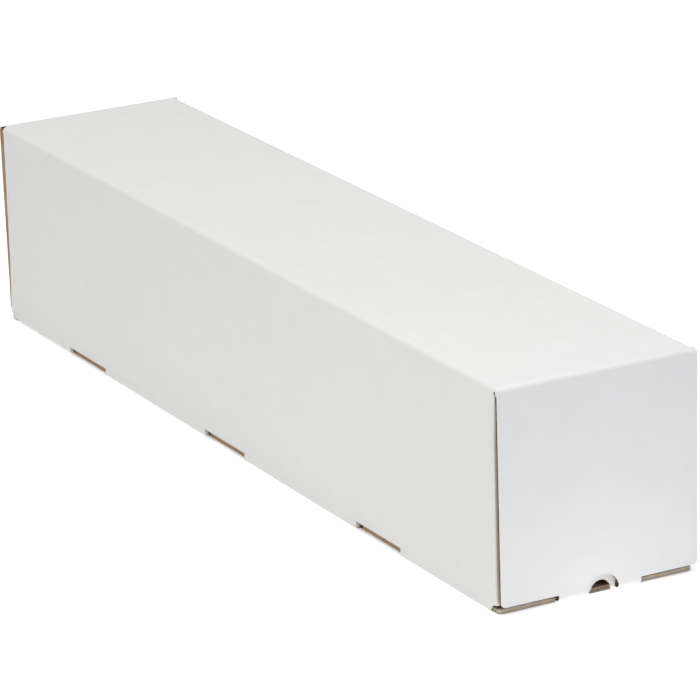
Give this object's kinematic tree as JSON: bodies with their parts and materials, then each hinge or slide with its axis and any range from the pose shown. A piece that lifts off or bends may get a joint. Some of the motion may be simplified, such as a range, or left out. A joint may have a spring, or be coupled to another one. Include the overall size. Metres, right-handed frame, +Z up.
{
  "type": "square cardboard mailing tube",
  "caption": "Long square-section mailing tube folded from one sheet of white corrugated board, with a tuck-in flap hinged along the top edge of each end.",
  "frame": {"origin": "on the floor under the middle of the tube, at the centre of its bottom face", "axes": "+X along the tube towards the end nearest the camera, +Y to the right when that end is looked at from outside, +Z up; the tabbed lower edge is at -Y"},
  "size_m": [0.66, 0.133, 0.1364],
  "materials": {
    "white_board": "matt white paper liner on B-flute corrugated board",
    "kraft_board": "brown kraft inside liner and raw fluted edges of the same board"
  },
  "bodies": {
    "tube": {"tube_body": "white_board"},
    "front_flap": {"front_end_flap": "white_board"},
    "rear_flap": {"rear_end_flap": "white_board"}
  },
  "joints": [
    {"name": "front_flap_hinge", "type": "hinge", "parent": "tube", "child": "front_flap", "pos_m": [0.32895, 0, 0.13535], "axis": [0, -1, 0], "range_deg": [0, 180]},
    {"name": "rear_flap_hinge", "type": "hinge", "parent": "tube", "child": "rear_flap", "pos_m": [-0.32895, 0, 0.13535], "axis": [0, 1, 0], "range_deg": [0, 180]}
  ]
}
